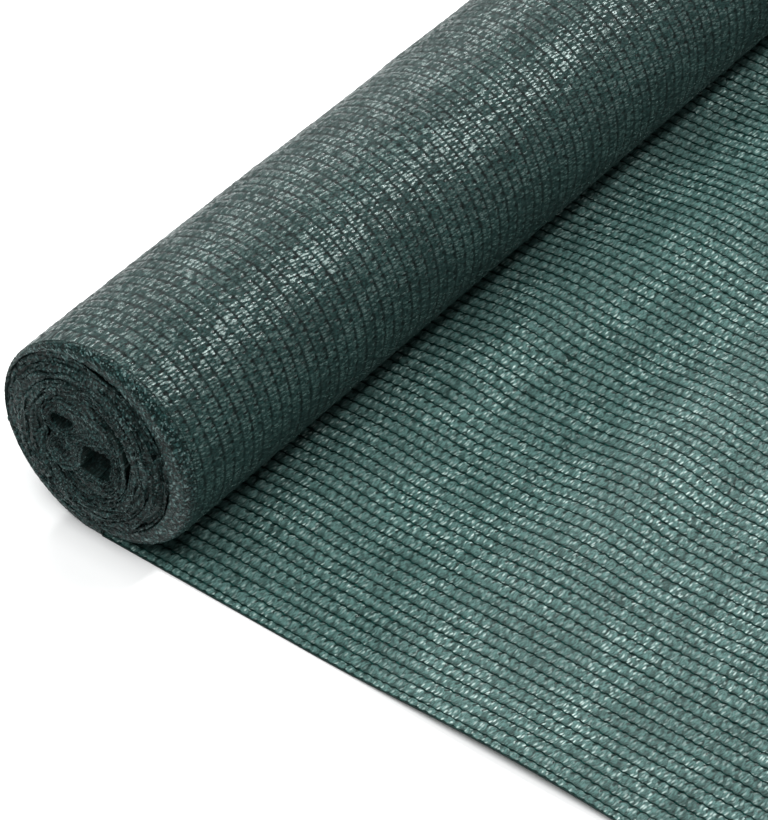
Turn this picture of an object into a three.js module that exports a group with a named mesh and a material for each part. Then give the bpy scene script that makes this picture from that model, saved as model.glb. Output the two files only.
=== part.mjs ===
// Privacy fence screen: one length of knitted plastic net, wound without a core into a roll.
// The roll lies on its side with its last stretch of cloth unrolled flat in front of it.
//
// Frame: millimetres, +Z up, ground at Z = 0. The roll lies along X, and its loose end runs out
// from under it towards -Y. The origin is on the ground, in the middle of the footprint.
//
// The cloth is one piece, shown as two solids: the wound roll, and the loose end, which starts
// at the step where the roll's outermost turn leaves it.

import * as THREE from "three";

// Driving sizes, in millimetres.
const CLOTH_WIDTH = 1000; // from selvage to selvage, and so the length of the roll
const CLOTH_THICKNESS = 1.2;
const SEAT_GAP = 0.3; // left between the roll and the loose end
const ROLL_RADIUS = 49; // to the outermost turn, just where it leaves the roll
const LOOSE_LENGTH = 360; // from the roll's line on the ground to the cut end
const TELESCOPE = 4.5; // how far the inner turns have slid along the roll, towards -X

// How finely the solids are faceted.
const ROLL_FACETS = 60;
const ROLL_STATIONS = 10;
const SHEET_COLUMNS = 40;
const SHEET_ROWS = 20;

// Sizes that follow from them. The roll's weight presses it flat for the first two facets on
// each side of its lowest line, a strip about 20 mm wide.
const TURN_STEP = CLOTH_THICKNESS + SEAT_GAP;
const PRESSED_TURN = (2 * 2 * Math.PI) / ROLL_FACETS;
const AXIS_Z = turnRadius(PRESSED_TURN) * Math.cos(PRESSED_TURN);
const AXIS_Y = (LOOSE_LENGTH - ROLL_RADIUS) / 2;
const NEAR_SELVAGE = -(CLOTH_WIDTH - TELESCOPE) / 2;
const FAR_SELVAGE = NEAR_SELVAGE + CLOTH_WIDTH;

const CLOTH_COLOUR = 0x4d6663;
const CLOTH_ROUGHNESS = 0.6;

// The roll is a little fuller in some places than in others: soft rings and dents in its turns.
// fromEnd: where along the roll, halfLength: how far it reaches, turned: the angle of its middle
// from straight down, towards +Y, in degrees, halfTurn: how far round it reaches, height: how
// far it stands out.
const ROLL_SWELLS = [
  { fromEnd: 90, halfLength: 110, turned: 200, halfTurn: 70, height: 0.9 },
  { fromEnd: 250, halfLength: 120, turned: 150, halfTurn: 80, height: -0.8 },
  { fromEnd: 390, halfLength: 130, turned: 225, halfTurn: 60, height: 0.8 },
  { fromEnd: 560, halfLength: 120, turned: 170, halfTurn: 90, height: -0.6 },
  { fromEnd: 700, halfLength: 120, turned: 120, halfTurn: 70, height: 0.8 },
  { fromEnd: 860, halfLength: 130, turned: 210, halfTurn: 80, height: -0.7 },
];

// The wound ends, ring by ring from the rim to the folded core.
// reach: the ring's share of the way from the middle to the outermost turn, relief: how deep it
// lies below the plane of the selvage, slide: its share of the telescoping, fold: how far the
// ring follows the folded core instead of the round roll.
const END_RINGS = [
  { reach: 1.0, relief: 7.0, slide: 0, fold: 0 },
  { reach: 0.985, relief: 3.4, slide: 0, fold: 0 },
  { reach: 0.95, relief: 1.2, slide: 0, fold: 0 },
  { reach: 0.9, relief: 0.2, slide: 0, fold: 0 },
  { reach: 0.865, relief: 0.4, slide: 0, fold: 0.04 },
  { reach: 0.85, relief: 3.0, slide: 0.1, fold: 0.07 },
  { reach: 0.83, relief: 0.9, slide: 0.9, fold: 0.1 },
  { reach: 0.77, relief: 0.0, slide: 1, fold: 0.25 },
  { reach: 0.68, relief: 0.3, slide: 1, fold: 0.5 },
  { reach: 0.59, relief: 0.8, slide: 1, fold: 0.78 },
  { reach: 0.54, relief: 1.4, slide: 1, fold: 0.94 },
  { reach: 0.515, relief: 4.2, slide: 1, fold: 1 },
  { reach: 0.49, relief: 2.0, slide: 1, fold: 1 },
  { reach: 0.43, relief: 2.2, slide: 1, fold: 1 },
  { reach: 0.35, relief: 2.8, slide: 1, fold: 1 },
  { reach: 0.27, relief: 3.2, slide: 1, fold: 1 },
  { reach: 0.18, relief: 3.0, slide: 1, fold: 1 },
  { reach: 0.09, relief: 2.6, slide: 1, fold: 1 },
];

// The first turns were folded flat before the winding began, so the middle is a bean shape, off
// centre. back and up place it from the roll's axis, and its long side is turned from level.
const FOLDED_CORE = { back: 9, up: -3, meanRadius: 48, stretch: 11, turned: 30 };

// Two hollows are left between the folds. They are placed from the roll's axis as the core is.
const CORE_HOLLOWS = [
  { back: -1, up: -9, halfWidth: 7.5, halfHeight: 8, depth: 26 },
  { back: 19, up: 3, halfWidth: 4.5, halfHeight: 3.5, depth: 18 },
];

// The unrolled cloth keeps soft waves from its winding, and is flat on the ground between them.
// fromEnd: along the roll from its near end, fromRoll: out from the roll's line on the ground,
// halfLength and halfWidth: how far the wave reaches along X and Y, height: of its crest,
// swing: how far the crest leans towards -Y for each millimetre along X.
const SOFT_WAVES = [
  { fromEnd: 70, fromRoll: 54, halfLength: 75, halfWidth: 30, height: 2.4, swing: 0.02 },
  { fromEnd: 190, fromRoll: 56, halfLength: 110, halfWidth: 34, height: 3.8, swing: 0.0 },
  { fromEnd: 330, fromRoll: 92, halfLength: 150, halfWidth: 52, height: 5.4, swing: 0.12 },
  { fromEnd: 160, fromRoll: 156, halfLength: 125, halfWidth: 36, height: 4.6, swing: -0.04 },
  { fromEnd: 0, fromRoll: 205, halfLength: 46, halfWidth: 95, height: 3.6, swing: 0 },
  { fromEnd: 210, fromRoll: 262, halfLength: 170, halfWidth: 38, height: 4.0, swing: 0.05 },
  { fromEnd: 420, fromRoll: 196, halfLength: 120, halfWidth: 34, height: 3.6, swing: -0.05 },
  { fromEnd: 560, fromRoll: 62, halfLength: 120, halfWidth: 34, height: 3.6, swing: 0.03 },
  { fromEnd: 600, fromRoll: 285, halfLength: 190, halfWidth: 40, height: 4.4, swing: -0.04 },
  { fromEnd: 650, fromRoll: 160, halfLength: 150, halfWidth: 44, height: 5.0, swing: 0.06 },
  { fromEnd: 800, fromRoll: 70, halfLength: 130, halfWidth: 36, height: 3.4, swing: -0.03 },
  { fromEnd: 860, fromRoll: 225, halfLength: 120, halfWidth: 40, height: 4.2, swing: 0.05 },
  { fromEnd: 1000, fromRoll: 140, halfLength: 60, halfWidth: 80, height: 3.2, swing: 0 },
];

// A soft hump: 1 in the middle, falling smoothly to 0 at t = -1 and t = 1.
function hump(t) {
  return Math.abs(t) < 1 ? (1 - t * t) ** 2 : 0;
}

// The cloth's material, with a shade of its own for each solid.
function clothMaterial(shade) {
  const colour = new THREE.Color(CLOTH_COLOUR).multiplyScalar(shade);
  return new THREE.MeshStandardMaterial({ color: colour, roughness: CLOTH_ROUGHNESS, metalness: 0 });
}

// A named mesh from a list of points and a list of triangles.
function solid(name, points, triangles, shade) {
  const geometry = new THREE.BufferGeometry();
  geometry.setAttribute("position", new THREE.Float32BufferAttribute(points.flat(), 3));
  geometry.setIndex(triangles.flat());
  geometry.computeVertexNormals();
  const mesh = new THREE.Mesh(geometry, clothMaterial(shade));
  mesh.name = name;
  return mesh;
}

// The outermost turn's radius. The angle runs from straight down towards +Y and once round,
// while the cloth spirals in by one step.
function turnRadius(angle) {
  return ROLL_RADIUS - (TURN_STEP * angle) / (2 * Math.PI);
}

// How far the roll's surface stands out at a place along it and an angle round it.
function swell(fromEnd, angle) {
  let height = 0;
  for (const s of ROLL_SWELLS) {
    const along = hump((fromEnd - s.fromEnd) / s.halfLength);
    const round = hump((THREE.MathUtils.radToDeg(angle) - s.turned) / s.halfTurn);
    height += s.height * along * round;
  }
  return height;
}

// A point on a ring round the axis, as [Y, Z]. reach and fold are the ring's own, and extra is
// what the surface stands out there.
function ringPoint(angle, reach, fold, extra) {
  const spiral = turnRadius(angle) / ROLL_RADIUS;
  const lengthwise = angle - Math.PI / 2 - THREE.MathUtils.degToRad(FOLDED_CORE.turned);
  const coreRadius = FOLDED_CORE.meanRadius + FOLDED_CORE.stretch * Math.cos(2 * lengthwise);
  const radius = reach * spiral * ((1 - fold) * (ROLL_RADIUS + extra) + fold * coreRadius);
  const lowest = angle < Math.PI ? 0 : TURN_STEP;
  const y = AXIS_Y + fold * FOLDED_CORE.back + radius * Math.sin(angle);
  const z = AXIS_Z + fold * FOLDED_CORE.up - radius * Math.cos(angle);
  return [y, Math.max(z, lowest)];
}

// How much deeper than its ring the end lies at a point, where a hollow of the core opens.
function hollowDepth(y, z) {
  let depth = 0;
  for (const h of CORE_HOLLOWS) {
    const across = (y - AXIS_Y - h.back) / h.halfWidth;
    const upward = (z - AXIS_Z - h.up) / h.halfHeight;
    depth += h.depth * Math.exp(-((across ** 2 + upward ** 2) ** 2));
  }
  return depth;
}

// The points of one ring, all round, for the end at -X (side -1) or at +X (side 1).
function endRing(ring, side) {
  const selvage = side < 0 ? NEAR_SELVAGE : FAR_SELVAGE;
  const fromEnd = side < 0 ? 0 : CLOTH_WIDTH;
  const points = [];
  for (let k = 0; k <= ROLL_FACETS; k++) {
    const angle = (2 * Math.PI * k) / ROLL_FACETS;
    const [y, z] = ringPoint(angle, ring.reach, ring.fold, swell(fromEnd, angle));
    const depth = ring.relief + hollowDepth(y, z);
    points.push([selvage - side * depth - ring.slide * TELESCOPE, y, z]);
  }
  return points;
}

// The rings of the roll's side between its two rims.
function sideRings() {
  const rimRelief = END_RINGS[0].relief;
  const rings = [];
  for (let i = 1; i < ROLL_STATIONS; i++) {
    const fromEnd = rimRelief + ((CLOTH_WIDTH - 2 * rimRelief) * i) / ROLL_STATIONS;
    const ring = [];
    for (let k = 0; k <= ROLL_FACETS; k++) {
      const angle = (2 * Math.PI * k) / ROLL_FACETS;
      ring.push([NEAR_SELVAGE + fromEnd, ...ringPoint(angle, 1, 0, swell(fromEnd, angle))]);
    }
    rings.push(ring);
  }
  return rings;
}

// The middle of an end: the mean of its innermost ring.
function middleOf(ring) {
  const sum = ring.reduce((total, p) => total.map((value, i) => value + p[i]), [0, 0, 0]);
  return sum.map((value) => value / ring.length);
}

// The wound roll: rings from the middle of the end at -X, over its rim, along the side, and over
// the other rim to the middle of the end at +X, each joined to the next.
function woundRoll() {
  const nearEnd = END_RINGS.map((ring) => endRing(ring, -1)).reverse();
  const farEnd = END_RINGS.map((ring) => endRing(ring, 1));
  const rings = [...nearEnd, ...sideRings(), ...farEnd];
  const perRing = ROLL_FACETS + 1;
  const points = rings.flat();
  const nearMiddle = points.push(middleOf(rings[0])) - 1;
  const farMiddle = points.push(middleOf(rings[rings.length - 1])) - 1;
  const triangles = [];
  for (let k = 0; k < perRing; k++) {
    const next = (k + 1) % perRing;
    const last = (rings.length - 1) * perRing;
    triangles.push([nearMiddle, next, k], [farMiddle, last + k, last + next]);
    for (let i = 0; i < rings.length - 1; i++) {
      const here = i * perRing;
      const there = here + perRing;
      triangles.push([here + k, here + next, there + next], [here + k, there + next, there + k]);
    }
  }
  return solid("wound_roll", points, triangles, 0.8);
}

// How high the loose end's underside lies above the ground.
function waveHeight(fromEnd, fromRoll) {
  let height = 0;
  for (const w of SOFT_WAVES) {
    const along = (fromEnd - w.fromEnd) / w.halfLength;
    const crest = w.fromRoll + w.swing * (fromEnd - w.fromEnd);
    height += w.height * hump(along) * hump((fromRoll - crest) / w.halfWidth);
  }
  return height;
}

// The loose end: the cloth from the roll's step to its cut end, as an upper and a lower grid of
// points joined round the edge.
function looseEnd() {
  const points = [];
  for (const lift of [0, CLOTH_THICKNESS]) {
    for (let j = 0; j <= SHEET_ROWS; j++) {
      const fromRoll = SEAT_GAP + ((LOOSE_LENGTH - SEAT_GAP) * j) / SHEET_ROWS;
      for (let i = 0; i <= SHEET_COLUMNS; i++) {
        const fromEnd = (CLOTH_WIDTH * i) / SHEET_COLUMNS;
        const z = waveHeight(fromEnd, fromRoll) + lift;
        points.push([NEAR_SELVAGE + fromEnd, AXIS_Y - fromRoll, z]);
      }
    }
  }
  const perRow = SHEET_COLUMNS + 1;
  const top = perRow * (SHEET_ROWS + 1);
  const triangles = [];
  for (let j = 0; j < SHEET_ROWS; j++) {
    for (let i = 0; i < SHEET_COLUMNS; i++) {
      const a = j * perRow + i;
      const [b, c, d] = [a + 1, a + perRow + 1, a + perRow];
      triangles.push([a, b, c], [a, c, d]);
      triangles.push([top + a, top + c, top + b], [top + a, top + d, top + c]);
    }
  }
  triangles.push(...edgeWall(perRow, top));
  return solid("loose_end", points, triangles, 1);
}

// The walls between the lower and the upper grid, along all four edges of the loose end.
function edgeWall(perRow, top) {
  const rim = [];
  for (let i = 0; i < SHEET_COLUMNS; i++) rim.push(i);
  for (let j = 0; j < SHEET_ROWS; j++) rim.push(j * perRow + SHEET_COLUMNS);
  for (let i = SHEET_COLUMNS; i > 0; i--) rim.push(SHEET_ROWS * perRow + i);
  for (let j = SHEET_ROWS; j > 0; j--) rim.push(j * perRow);
  const triangles = [];
  for (let k = 0; k < rim.length; k++) {
    const a = rim[k];
    const b = rim[(k + 1) % rim.length];
    triangles.push([a, top + a, top + b], [a, top + b, b]);
  }
  return triangles;
}

const fenceScreen = new THREE.Group();
fenceScreen.name = "privacy_fence_screen";
fenceScreen.add(woundRoll(), looseEnd());

export default fenceScreen;
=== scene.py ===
"""Privacy fence screen: the looks of one length of knitted plastic net, wound into a roll.

The net is warp knitted from flat HDPE tape. Pillar stitches run along the cloth, one wale every
6 mm, and lay-in tapes zigzag between them, one course about every 4.4 mm. The file is laid out
as an add-on and run as a script. Shapes are worked out in millimetres, in the frame's own axes:
X along the roll, the loose end towards -Y, +Z up.
"""

import math
from collections import namedtuple

import bpy
import numpy as np
from bpy.props import FloatProperty, FloatVectorProperty, IntProperty, PointerProperty
from bpy.types import Operator, Panel, PropertyGroup
from mathutils import Matrix, Vector


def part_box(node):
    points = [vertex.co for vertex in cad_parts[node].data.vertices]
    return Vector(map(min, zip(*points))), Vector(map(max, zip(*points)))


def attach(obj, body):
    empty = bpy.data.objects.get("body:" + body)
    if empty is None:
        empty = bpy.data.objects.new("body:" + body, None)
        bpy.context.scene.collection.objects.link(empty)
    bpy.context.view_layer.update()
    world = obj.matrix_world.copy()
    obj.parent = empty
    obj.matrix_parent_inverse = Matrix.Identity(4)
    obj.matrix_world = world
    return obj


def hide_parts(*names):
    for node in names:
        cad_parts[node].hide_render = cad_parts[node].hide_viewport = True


bl_info = {
    "name": "Privacy Fence Screen",
    "version": (1, 0, 0),
    "blender": (4, 5, 0),
    "location": "View3D > Sidebar > Fence Screen",
    "description": "Builds a roll of knitted privacy net with its loose end",
    "category": "Add Mesh",
}

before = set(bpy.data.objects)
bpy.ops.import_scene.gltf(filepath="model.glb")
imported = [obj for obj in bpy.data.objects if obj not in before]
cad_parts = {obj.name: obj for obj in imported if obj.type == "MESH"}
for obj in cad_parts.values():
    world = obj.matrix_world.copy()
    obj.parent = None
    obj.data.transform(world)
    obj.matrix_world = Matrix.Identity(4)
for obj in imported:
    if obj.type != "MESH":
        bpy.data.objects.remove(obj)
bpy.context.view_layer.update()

MM = 0.001
LOOSE_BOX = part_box("loose_end")
NEAR_SELVAGE = LOOSE_BOX[0].x / MM
CLOTH_WIDTH = (LOOSE_BOX[1].x - LOOSE_BOX[0].x) / MM

# The roll's own sizes, in millimetres, as its solid has them.
ROLL_RADIUS = 49.0
TURN_STEP = 1.5
PRESSED_TURN = math.radians(12)
TELESCOPE = 4.5
SEAT_GAP = 0.3
ROLL_LINE = LOOSE_BOX[1].y / MM + SEAT_GAP
AXIS_Z = (ROLL_RADIUS - TURN_STEP * PRESSED_TURN / (2 * math.pi)) * math.cos(PRESSED_TURN)
OFF_FLOOR = 0.02  # keeps the roll's pressed strip from lying in the floor

# The knit: the first pillar's distance from the selvage, and one wale and one course.
FIRST_WALE = 4.0
WALE_AND_COURSE = np.array([6.0, 4.386])

# The roll's soft swells and the loose end's soft waves, as their solids have them: where each
# lies, how far it reaches both ways, and how far it stands out.
Swell = namedtuple("Swell", "from_end half_length turned half_turn height")
ROLL_SWELLS = [
    Swell(90, 110, 200, 70, 0.9),
    Swell(250, 120, 150, 80, -0.8),
    Swell(390, 130, 225, 60, 0.8),
    Swell(560, 120, 170, 90, -0.6),
    Swell(700, 120, 120, 70, 0.8),
    Swell(860, 130, 210, 80, -0.7),
]

Wave = namedtuple("Wave", "from_end from_roll half_length half_width height swing")
SOFT_WAVES = [
    Wave(70, 54, 75, 30, 2.4, 0.02),
    Wave(190, 56, 110, 34, 3.8, 0.0),
    Wave(330, 92, 150, 52, 5.4, 0.12),
    Wave(160, 156, 125, 36, 4.6, -0.04),
    Wave(0, 205, 46, 95, 3.6, 0),
    Wave(210, 262, 170, 38, 4.0, 0.05),
    Wave(420, 196, 120, 34, 3.6, -0.05),
    Wave(560, 62, 120, 34, 3.6, 0.03),
    Wave(600, 285, 190, 40, 4.4, -0.04),
    Wave(650, 160, 150, 44, 5.0, 0.06),
    Wave(800, 70, 130, 36, 3.4, -0.03),
    Wave(860, 225, 120, 40, 4.2, 0.05),
    Wave(1000, 140, 60, 80, 3.2, 0),
]

# A closed line round the wound end, placed from the roll's axis: turn counts inwards from the
# rim, across and upright are its half sizes, and turned leans it. corners is how many corners it
# has, corner how far they stand out, and cornered where one of them lies. face is how far its
# edge of cloth lies inside the selvage.
Contour = namedtuple("Contour", "turn back up across upright turned corner cornered corners face")
RIM_TURNS = [
    Contour(0, 5.7, -1.0, 42.0, 42.0, 0, 0, 0, 3, 0.4),
    Contour(1.2, 4.9, -1.4, 40.6, 40.6, 0, 0, 0, 3, 0.4),
    Contour(4.4, 4.2, -1.2, 35.6, 36.0, 0, 0, 0, 3, -3.4),
    Contour(6.0, 3.6, -0.9, 32.4, 33.6, 0, 0, 0, 3, -4.6),
    Contour(10.0, 2.2, 0.4, 25.0, 28.0, 0, 0, 0, 3, -4.6),
    Contour(12.0, 1.7, 0.7, 22.3, 25.6, 0, 0, 0, 3, -3.6),
]
LOWER_FOLD = [
    Contour(12.0, 1.4, -0.8, 20.8, 24.6, -6, 0, 50, 4, -2.6),
    Contour(12.8, 1.0, -1.4, 19.5, 23.0, -6, 0, 50, 4, -4.2),
    Contour(15.0, -0.6, -3.4, 15.8, 17.4, -6, 0.02, 50, 4, -4.8),
    Contour(18.0, -2.6, -4.2, 11.4, 10.4, -30, 0.06, 50, 4, -4.7),
    Contour(19.4, -3.0, -4.3, 9.8, 8.4, -40, 0.09, 50, 4, -4.6),
    Contour(20.0, -3.2, -4.3, 9.4, 7.8, -40, 0.1, 50, 4, -3.6),
]
SIDE_FOLD = [
    Contour(12.0, 12.4, -6.6, 9.8, 11.4, 24, 0, 0, 3, -3.6),
    Contour(12.9, 12.9, -6.2, 8.8, 10.2, 24, 0, 0, 3, -4.6),
    Contour(16.0, 14.6, -4.6, 4.0, 4.6, 24, 0, 0, 3, -4.9),
    Contour(18.0, 15.2, -4.2, 1.0, 1.2, 24, 0, 0, 3, -4.2),
]
UPPER_FOLD = [
    Contour(12.0, 9.2, 14.2, 16.8, 12.3, -16, 0, 0, 3, -2.4),
    Contour(12.9, 9.4, 13.8, 15.6, 11.2, -16, 0, 0, 3, -4.4),
    Contour(15.0, 11.6, 11.6, 11.8, 8.6, -14, 0, 0, 3, -4.9),
    Contour(17.2, 13.6, 9.0, 6.6, 5.0, -10, 0.08, 240, 3, -4.6),
    Contour(18.6, 14.2, 8.6, 5.2, 3.4, -10, 0.12, 240, 3, -3.4),
]

# Where the turns have drawn apart, a groove is deeper and wider than the rest.
Gap = namedtuple("Gap", "turn half_turn turned half_angle depth")
RIM_GAPS = [
    Gap(2.4, 0.7, 180, 400, 0.8),
    Gap(2.4, 0.8, 300, 70, 1.6),
    Gap(5.6, 1.1, 284, 40, 2.0),
    Gap(6.3, 0.9, 160, 44, 1.4),
    Gap(9.4, 1.0, 60, 40, 1.6),
    Gap(10.8, 2.0, 88, 20, 2.6),
    Gap(11.7, 1.6, 250, 28, 3.2),
]
LOWER_GAPS = [
    Gap(15.5, 5.0, 78, 56, 1.6),
    Gap(13.9, 3.4, 130, 26, 9.0),
    Gap(15.0, 1.0, 10, 60, 1.6),
]


def colour(code):
    """An sRGB hex colour as linear red, green, blue."""
    parts = np.array([int(code[i : i + 2], 16) for i in (1, 3, 5)]) / 255
    linear = np.where(parts <= 0.04045, parts / 12.92, ((parts + 0.055) / 1.055) ** 2.4)
    return tuple(float(c) for c in linear)


def size_property(name, description, default):
    """A length in metres that a user may change."""
    return FloatProperty(
        name=name, description=description, default=default, min=0.0, unit="LENGTH", precision=5
    )


def colour_property(name, description, code):
    """A colour that a user may change, given as sRGB hex."""
    return FloatVectorProperty(
        name=name, description=description, default=colour(code), subtype="COLOR", min=0.0, max=1.0
    )


class FenceNetSizes(PropertyGroup):
    """The knit's own sizes."""

    wale_pitch: size_property("Wale pitch", "From one pillar stitch to the next", 0.006)
    loose_courses: IntProperty(
        name="Loose courses", description="Courses of knit in the loose end", default=82, min=2
    )
    round_courses: IntProperty(
        name="Round courses", description="Courses of knit once round the roll", default=69, min=8
    )
    puff: size_property("Tape puff", "How far the tapes stand up between pillars", 0.00075)
    stitch: size_property("Stitch width", "Across a pillar stitch at its widest", 0.0024)


class FenceNetColours(PropertyGroup):
    """The colours of the tape, with painted shade for its low places and painted highlights for its
    glints.
    """

    # loose_tape is painted lighter than roll_tape for the same HDPE: the pale floor's light through
    # one layer is painted into it, while the roll's many layers let none through.
    loose_tape: colour_property("Loose tape", "Tape of one layer over a pale floor", "#466460")
    # Painted shade: the loose end's low places and holes, and its hidden ground cloth, take this
    # dark colour.
    loose_painted_shade: colour_property("Loose tape, low", "The same where tapes dip", "#041E1A")
    roll_tape: colour_property("Roll tape", "Tape over many layers", "#1E3432")
    # Painted shade: the roll's low places and holes take this dark colour.
    roll_painted_shade: colour_property("Roll tape, low", "The same where tapes dip", "#030C0B")
    # Painted highlights: the glinting dashes are painted these pale colours, besides their real
    # gloss.
    painted_glint: colour_property("Painted glint on tape", "Pale colour painted where the tape glints", "#A2B8B3")
    roll_painted_glint: colour_property("Painted glint on roll tape", "The same on the roll", "#435955")
    # The stitches' own dark colour, partly painted shade of the grooves they lie in; the knots'
    # colour below is painted shade.
    stitch: colour_property("Stitch", "The pillar stitches", "#0B2D29")
    stitch_painted_shade: colour_property("Stitch, low", "Their drawn-in knots", "#041916")
    # The selvages' colour, darkened as painted shade of the packed edges; the low colour is painted
    # shade in the grooves and wells, and the fleck colour gives pale flecks of cut ribbon and a
    # painted highlight on raised places.
    selvage: colour_property("Selvage", "The edges of the wound turns", "#172A29")
    selvage_painted_shade: colour_property("Selvage, low", "The grooves between the turns", "#0A1613")
    selvage_fleck_and_highlight: colour_property("Selvage fleck", "The brighter flecks of edges", "#718886")


class FenceStudio(PropertyGroup):
    """The floor and the light."""

    floor: colour_property("Floor", "A plain pale floor", "#F4F5F5")
    world: FloatProperty(name="Fill", description="Light from all round", default=0.3, min=0.0)
    key: FloatProperty(
        name="Key", description="Power of the key light", default=34.0, min=0.0, unit="POWER"
    )
    crest: FloatProperty(
        name="Crest", description="Power of the strip behind", default=19.0, min=0.0, unit="POWER"
    )
    band: FloatProperty(
        name="Band", description="Power of the strip in front", default=30.0, min=0.0, unit="POWER"
    )


# ---------------------------------------------------------------------------------------------
# Shapes
# ---------------------------------------------------------------------------------------------


def hump(t):
    """A soft hump: (1 - t squared) squared between t = -1 and t = 1, and nothing outside."""
    return np.where(np.abs(t) < 1, (1 - t * t) ** 2, 0.0)


def ripples(along, shortest, longest, count, seed):
    """A smooth random line: the sum of sines of different wavelengths, each with its phase,
    scaled to a root mean square of 1."""
    rng = np.random.default_rng(seed)
    lengths = shortest * (longest / shortest) ** np.linspace(0, 1, count)
    phases = rng.uniform(0, 2 * math.pi, count)
    waves = zip(lengths, phases)
    total = sum(np.sin(2 * math.pi * along / length + phase) for length, phase in waves)
    return total * math.sqrt(2 / count)


def wave_height(from_end, from_roll):
    """How high the loose end's underside lies: the sum of its soft waves."""
    height = np.zeros(np.broadcast(from_end, from_roll).shape)
    for w in SOFT_WAVES:
        crest = w.from_roll + w.swing * (from_end - w.from_end)
        along = hump((from_end - w.from_end) / w.half_length)
        height += w.height * along * hump((from_roll - crest) / w.half_width)
    return height


def roll_swell(from_end, angle):
    """How far the roll's surface stands out: the sum of its soft swells."""
    height = np.zeros(np.broadcast(from_end, angle).shape)
    for s in ROLL_SWELLS:
        along = hump((from_end - s.from_end) / s.half_length)
        height += s.height * along * hump((np.degrees(angle) - s.turned) / s.half_turn)
    return height


def on_roll(from_end, angle, radius):
    """A point of the roll as X, Y, Z. The angle runs from straight down towards +Y. The roll's
    weight presses its lowest strip flat, on the ground or on the loose end that passes under."""
    y = ROLL_LINE + radius * np.sin(angle)
    z = AXIS_Z - radius * np.cos(angle)
    lowest = np.where(angle < math.pi, OFF_FLOOR, TURN_STEP)
    x = NEAR_SELVAGE + from_end
    return np.stack(np.broadcast_arrays(x, y, np.maximum(z, lowest)), axis=-1)


def quads(rows, columns, wrap_rows=False, wrap_columns=False):
    """The faces of a grid of points, rows by columns, as indices into it."""
    r = np.arange(rows if wrap_rows else rows - 1)
    c = np.arange(columns if wrap_columns else columns - 1)
    r, c = np.meshgrid(r, c, indexing="ij")
    below, right = (r + 1) % rows, (c + 1) % columns
    corners = [r * columns + c, r * columns + right, below * columns + right, below * columns + c]
    return np.stack(corners, axis=-1).reshape(-1, 4)


def make_piece(name, points, faces, material, uv=None, lift=None):
    """A mesh object from points in millimetres and a list of face arrays, each with one number
    of corners. uv is in wales and courses, lift is 0 in the knit's low places and 1 on top, and
    the materials paint shade where it is low."""
    corners = np.concatenate([f.ravel() for f in faces]).astype(np.int32)
    counts = np.concatenate([np.full(len(f), f.shape[1]) for f in faces])
    mesh = bpy.data.meshes.new(name)
    mesh.vertices.add(len(points))
    mesh.vertices.foreach_set("co", (points * MM).astype(np.float32).ravel())
    mesh.loops.add(len(corners))
    mesh.loops.foreach_set("vertex_index", corners)
    mesh.polygons.add(len(counts))
    starts = np.concatenate([[0], np.cumsum(counts)[:-1]]).astype(np.int32)
    mesh.polygons.foreach_set("loop_start", starts)
    mesh.update(calc_edges=True)
    mesh.shade_smooth()
    if uv is not None:
        layer = mesh.uv_layers.new(name="Knit")
        layer.uv.foreach_set("vector", uv[corners].astype(np.float32).ravel())
    if lift is not None:
        attribute = mesh.attributes.new("lift", "FLOAT", "POINT")
        attribute.data.foreach_set("value", lift.astype(np.float32))
    if mesh.validate():
        raise RuntimeError(f"{name}: the mesh had faults")
    mesh.materials.append(material)
    piece = bpy.data.objects.new(name, mesh)
    bpy.context.scene.collection.objects.link(piece)
    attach(piece, "root")
    return piece


def wale_columns(pitch, places):
    """Across the whole cloth: the distance from the near selvage of each column of points, and
    its place in wales. places are the columns' places within one wale, and the selvages close
    the first and the last."""
    lines = np.concatenate([[0.0], np.arange(FIRST_WALE, CLOTH_WIDTH + 0.01, pitch)])
    widths = np.diff(lines)
    across = (lines[:-1, None] + widths[:, None] * places).ravel()
    wales = (np.arange(len(widths))[:, None] + places).ravel()
    if places[0] > 0:
        across, wales = np.append(0.0, across), np.append(0.0, wales)
    return np.append(across, CLOTH_WIDTH), np.append(wales, len(widths))


def last_wale(sizes):
    """The number of the wale nearest the far selvage, the first being 0."""
    return math.floor((CLOTH_WIDTH - FIRST_WALE) / (sizes.wale_pitch / MM))


DRIFT = 0.3
DRIFT_FADE = 40.0


def side_drift(across, along):
    """How far the pillars wander sideways, nothing at the selvages: two slow sines of the place
    along the cloth, turned a little from wale to wale."""
    fade = np.clip(np.minimum(across, CLOTH_WIDTH - across) / DRIFT_FADE, 0, 1)
    slow = np.sin(along / 31 + across / 57) + 0.6 * np.sin(along / 13.7 - across / 83 + 1)
    return DRIFT * fade * slow


# ---------------------------------------------------------------------------------------------
# Materials
# ---------------------------------------------------------------------------------------------


def add_node(tree, kind, settings=None, sockets=None, stops=()):
    """Adds a node: sets its properties, sets or links its inputs, and fills a grey ramp's stops."""
    node = tree.nodes.new(kind)
    for key, value in (settings or {}).items():
        setattr(node, key, value)
    for key, value in (sockets or {}).items():
        if isinstance(value, bpy.types.NodeSocket):
            tree.links.new(value, node.inputs[key])
        else:
            node.inputs[key].default_value = value
    for number, (place, level) in enumerate(stops):
        elements = node.color_ramp.elements
        element = elements[number] if number < len(elements) else elements.new(place)
        element.position, element.color = place, (level, level, level, 1)
    return node


def rgba(value):
    """A colour with full alpha."""
    return (*value, 1.0)


def new_material(name):
    """An empty material and its node tree."""
    material = bpy.data.materials.new(name)
    material.use_nodes = True
    material.node_tree.nodes.clear()
    return material, material.node_tree


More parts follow.
